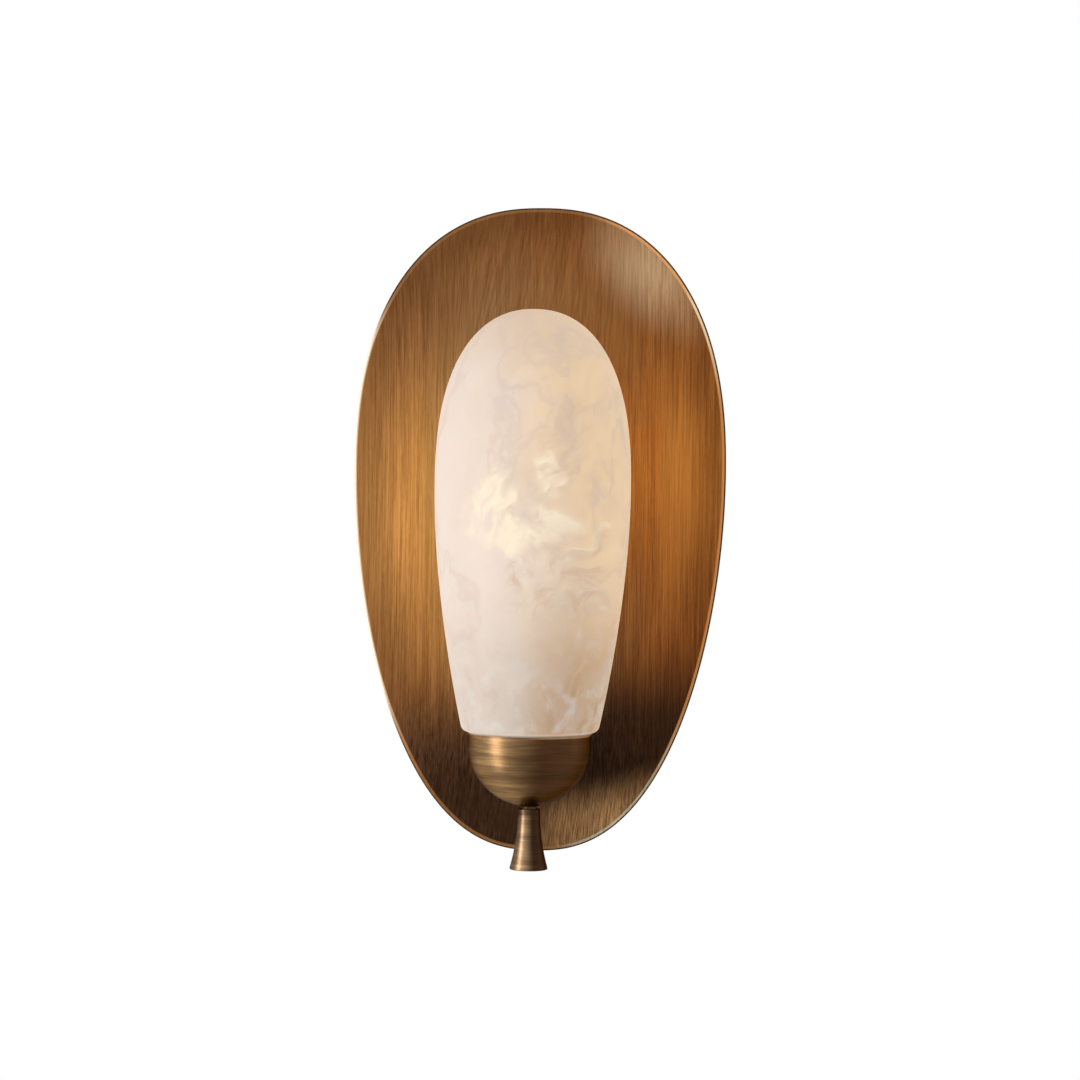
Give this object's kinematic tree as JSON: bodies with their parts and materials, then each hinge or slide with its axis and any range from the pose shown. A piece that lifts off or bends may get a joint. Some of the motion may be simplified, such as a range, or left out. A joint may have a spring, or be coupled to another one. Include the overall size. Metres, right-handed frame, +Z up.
{
  "type": "wall sconce",
  "caption": "Wall sconce: dished egg-shaped brass shield, closed alabaster shade on a brass cup with a flared finial, screw-base lamp inside.",
  "frame": {"origin": "centre of the wall mount, on the wall plane, midway between the strap's two slots", "axes": "+Y into the wall, -Y out to the room, +Z up, +X to the right seen from the room"},
  "size_m": [0.255, 0.1747, 0.4442],
  "materials": {
    "antique_brass": "antique brass, brushed vertically",
    "pan_brass": "antique brass, satin",
    "arm_brass": "antique brass, turned",
    "turned_brass": "antique brass, turned",
    "gallery_brass": "antique brass, satin",
    "finial_brass": "antique brass, turned",
    "dark_brass": "blackened brass",
    "raw_brass": "raw machined brass",
    "spring_brass": "rolled spring brass",
    "brass_screw": "antique brass, satin",
    "steel_hardware": "zinc plated",
    "zinc_steel": "zinc plated sheet",
    "green_screw": "green dyed zinc",
    "tinned_copper": "tinned",
    "nickel_sheet": "nickel plated, rolled",
    "solder": "solder",
    "porcelain": "glazed",
    "alabaster": "honed, lit from inside",
    "silicone": "matte",
    "black_glass": "gloss",
    "clear_glass": "clear",
    "filament_phosphor": "phosphor coated",
    "white_plastic": "moulded",
    "connector_plastic": "moulded",
    "black_lead": "insulation",
    "white_lead": "insulation",
    "green_lead": "insulation"
  },
  "bodies": {
    "fixture": {"shield_plate": "antique_brass", "shield_studs": "steel_hardware", "stud_nuts": "steel_hardware", "back_pan": "pan_brass", "wall_strap": "zinc_steel", "pan_screws": "brass_screw", "ground_screw": "green_screw", "strap_ring": "tinned_copper", "arm": "arm_brass", "arm_collar": "arm_brass", "arm_washer": "steel_hardware", "arm_ring": "tinned_copper", "arm_nut": "steel_hardware", "arm_bushing": "white_plastic", "cluster_body": "raw_brass", "cluster_cap": "raw_brass", "cup": "turned_brass", "gallery": "gallery_brass", "nipple": "raw_brass", "holder_nut": "steel_hardware", "lampholder_base": "porcelain", "lampholder_body": "porcelain", "screw_shell": "nickel_sheet", "contact_tongue": "spring_brass", "terminal_screws": "raw_brass", "finial_stud": "steel_hardware", "line_lead": "black_lead", "neutral_lead": "white_lead", "ground_lead": "green_lead", "wire_connectors": "connector_plastic"},
    "shade_seat": {"shade_cushion": "silicone"},
    "shade": {"shade": "alabaster"},
    "lamp_thread": {"bulb_contact": "solder", "bulb_insulator": "black_glass"},
    "lamp": {"bulb_base": "nickel_sheet", "bulb_glass": "clear_glass", "bulb_stem": "clear_glass", "bulb_filaments": "filament_phosphor"},
    "finial_thread": {"neck_spacer": "dark_brass"},
    "finial": {"finial": "finial_brass"}
  },
  "joints": [
    {"name": "shade_turn", "type": "hinge", "parent": "fixture", "child": "shade_seat", "pos_m": [0, -0.11, -0.1345], "axis": [0, 0, 1], "continuous": true},
    {"name": "shade_lift", "type": "slide", "parent": "shade_seat", "child": "shade", "axis": [0, 0, 1], "range_m": [0, 0.235]},
    {"name": "bulb_rise", "type": "slide", "parent": "fixture", "child": "lamp_thread", "axis": [0, 0, 1], "range_m": [0, 0.01815]},
    {"name": "bulb_turn", "type": "hinge", "parent": "lamp_thread", "child": "lamp", "pos_m": [0, -0.11, -0.08], "axis": [0, 0, 1], "range_deg": [0, 1802]},
    {"name": "finial_drop", "type": "slide", "parent": "fixture", "child": "finial_thread", "axis": [0, 0, -1], "range_m": [0, 0.012]},
    {"name": "finial_turn", "type": "hinge", "parent": "finial_thread", "child": "finial", "pos_m": [0, -0.11, -0.2], "axis": [0, 0, -1], "range_deg": [0, 4322]}
  ],
  "couplings": [
    {"joint": "bulb_turn", "follows": "bulb_rise", "rad_per_m": 1731.4},
    {"joint": "finial_turn", "follows": "finial_drop", "rad_per_m": 6283.2}
  ]
}
